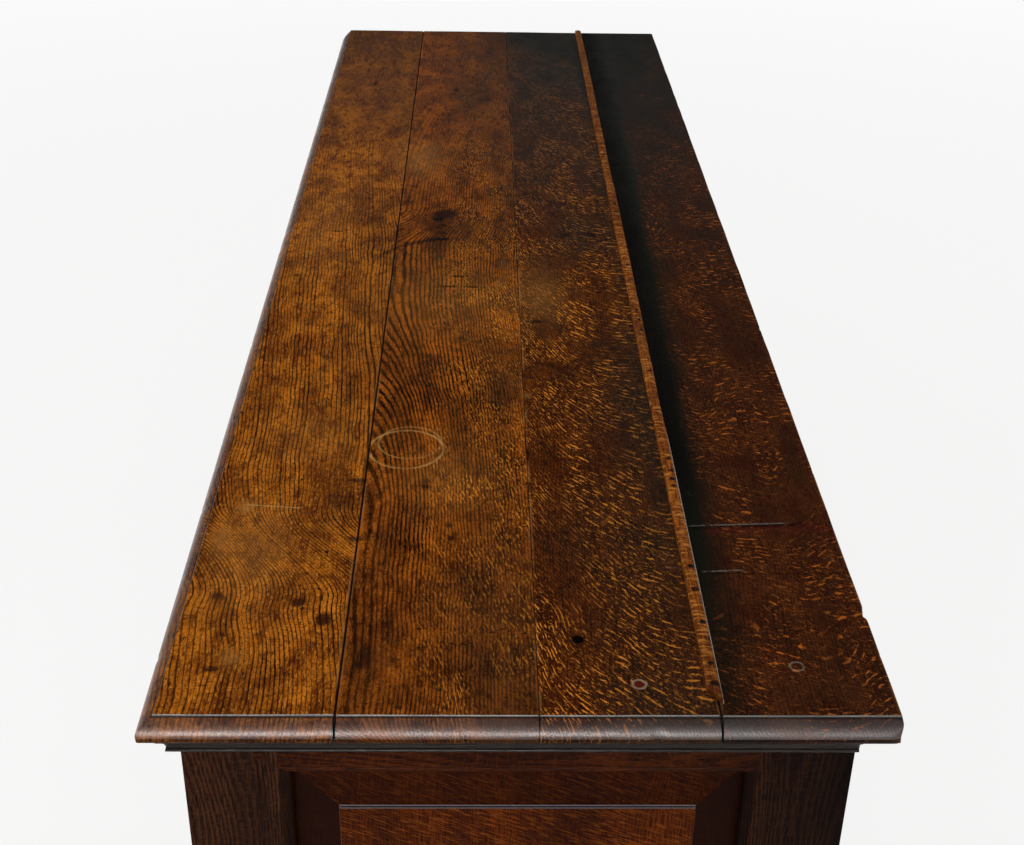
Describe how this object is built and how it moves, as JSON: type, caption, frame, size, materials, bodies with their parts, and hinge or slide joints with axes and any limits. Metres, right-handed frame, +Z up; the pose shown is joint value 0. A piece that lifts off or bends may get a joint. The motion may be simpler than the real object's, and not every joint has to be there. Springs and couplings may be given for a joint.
{
  "type": "enclosed dresser base",
  "caption": "Low oak dresser with a planked, moulded top, panelled ends, frieze drawers with drop handles and panelled cupboard doors either side of a fixed panel.",
  "frame": {"origin": "on the floor, under the middle of the top", "axes": "+X along the length, towards the right-hand end seen from the front; -Y out of the front; +Z up"},
  "size_m": [1.846, 0.544, 0.843],
  "materials": {
    "oak_top": "waxed",
    "oak_brown": "waxed",
    "oak_dark": "waxed and darkened",
    "oak_frame": "waxed",
    "oak_lining": "dry",
    "brass": "worn",
    "iron": "wrought and blackened"
  },
  "bodies": {
    "carcase": {"top_front_board": "oak_top", "top_second_board": "oak_top", "top_third_board": "oak_brown", "top_back_board": "oak_dark", "plate_strip": "oak_brown", "strip_nails": "iron", "cornice_front": "oak_dark", "cornice_left": "oak_dark", "cornice_right": "oak_dark", "front_post_left": "oak_frame", "front_post_right": "oak_frame", "back_post_left": "oak_frame", "back_post_right": "oak_frame", "end_top_rail_left": "oak_frame", "end_top_rail_right": "oak_frame", "end_bottom_rail_left": "oak_frame", "end_bottom_rail_right": "oak_frame", "end_panel_left": "oak_frame", "end_panel_right": "oak_frame", "front_top_rail": "oak_frame", "front_middle_rail": "oak_frame", "front_bottom_rail": "oak_frame", "drawer_muntin_left": "oak_frame", "drawer_muntin_right": "oak_frame", "bay_stile_left": "oak_frame", "bay_stile_right": "oak_frame", "centre_panel": "oak_frame", "back_rails": "oak_lining", "back_boarding": "oak_lining", "cupboard_floor": "oak_lining", "drawer_runners": "oak_lining", "stop_blocks": "oak_lining", "frame_pegs": "oak_dark", "hinge_frame_leaves": "iron"},
    "left_drawer": {"left_drawer_front": "oak_frame", "left_drawer_box": "oak_lining", "left_drawer_bottom": "oak_lining", "left_drawer_fittings": "brass"},
    "left_drawer_bail_left": {"left_drawer_bail_left": "brass"},
    "left_drawer_bail_right": {"left_drawer_bail_right": "brass"},
    "middle_drawer": {"middle_drawer_front": "oak_frame", "middle_drawer_box": "oak_lining", "middle_drawer_bottom": "oak_lining", "middle_drawer_fittings": "brass"},
    "middle_drawer_bail_left": {"middle_drawer_bail_left": "brass"},
    "middle_drawer_bail_right": {"middle_drawer_bail_right": "brass"},
    "right_drawer": {"right_drawer_front": "oak_frame", "right_drawer_box": "oak_lining", "right_drawer_bottom": "oak_lining", "right_drawer_fittings": "brass"},
    "right_drawer_bail_left": {"right_drawer_bail_left": "brass"},
    "right_drawer_bail_right": {"right_drawer_bail_right": "brass"},
    "left_door": {"left_door_frame": "oak_frame", "left_door_panel": "oak_frame", "left_door_leaves": "iron"},
    "left_latch": {"left_door_latch": "brass"},
    "right_door": {"right_door_frame": "oak_frame", "right_door_panel": "oak_frame", "right_door_leaves": "iron"},
    "right_latch": {"right_door_latch": "brass"}
  },
  "joints": [
    {"name": "left_drawer_slide", "type": "slide", "parent": "carcase", "child": "left_drawer", "axis": [0, -1, 0], "range_m": [0, 0.3]},
    {"name": "left_drawer_bail_left_hinge", "type": "hinge", "parent": "left_drawer", "child": "left_drawer_bail_left", "pos_m": [-0.715, -0.2635, 0.708], "axis": [-1, 0, 0], "range_deg": [0, 85]},
    {"name": "left_drawer_bail_right_hinge", "type": "hinge", "parent": "left_drawer", "child": "left_drawer_bail_right", "pos_m": [-0.435, -0.2635, 0.708], "axis": [-1, 0, 0], "range_deg": [0, 85]},
    {"name": "middle_drawer_slide", "type": "slide", "parent": "carcase", "child": "middle_drawer", "axis": [0, -1, 0], "range_m": [0, 0.3]},
    {"name": "middle_drawer_bail_left_hinge", "type": "hinge", "parent": "middle_drawer", "child": "middle_drawer_bail_left", "pos_m": [-0.14, -0.2635, 0.708], "axis": [-1, 0, 0], "range_deg": [0, 85]},
    {"name": "middle_drawer_bail_right_hinge", "type": "hinge", "parent": "middle_drawer", "child": "middle_drawer_bail_right", "pos_m": [0.14, -0.2635, 0.708], "axis": [-1, 0, 0], "range_deg": [0, 85]},
    {"name": "right_drawer_slide", "type": "slide", "parent": "carcase", "child": "right_drawer", "axis": [0, -1, 0], "range_m": [0, 0.3]},
    {"name": "right_drawer_bail_left_hinge", "type": "hinge", "parent": "right_drawer", "child": "right_drawer_bail_left", "pos_m": [0.435, -0.2635, 0.708], "axis": [-1, 0, 0], "range_deg": [0, 85]},
    {"name": "right_drawer_bail_right_hinge", "type": "hinge", "parent": "right_drawer", "child": "right_drawer_bail_right", "pos_m": [0.715, -0.2635, 0.708], "axis": [-1, 0, 0], "range_deg": [0, 85]},
    {"name": "left_door_hinge", "type": "hinge", "parent": "carcase", "child": "left_door", "pos_m": [-0.83425, -0.2518, 0.3645], "axis": [0, 0, -1], "range_deg": [0, 165]},
    {"name": "left_latch_turn", "type": "hinge", "parent": "left_door", "child": "left_latch", "pos_m": [-0.3365, -0.2475, 0.3645], "axis": [0, -1, 0], "range_deg": [0, 90]},
    {"name": "right_door_hinge", "type": "hinge", "parent": "carcase", "child": "right_door", "pos_m": [0.83425, -0.2518, 0.3645], "axis": [0, 0, 1], "range_deg": [0, 165]},
    {"name": "right_latch_turn", "type": "hinge", "parent": "right_door", "child": "right_latch", "pos_m": [0.3365, -0.2475, 0.3645], "axis": [0, 1, 0], "range_deg": [0, 90]}
  ]
}
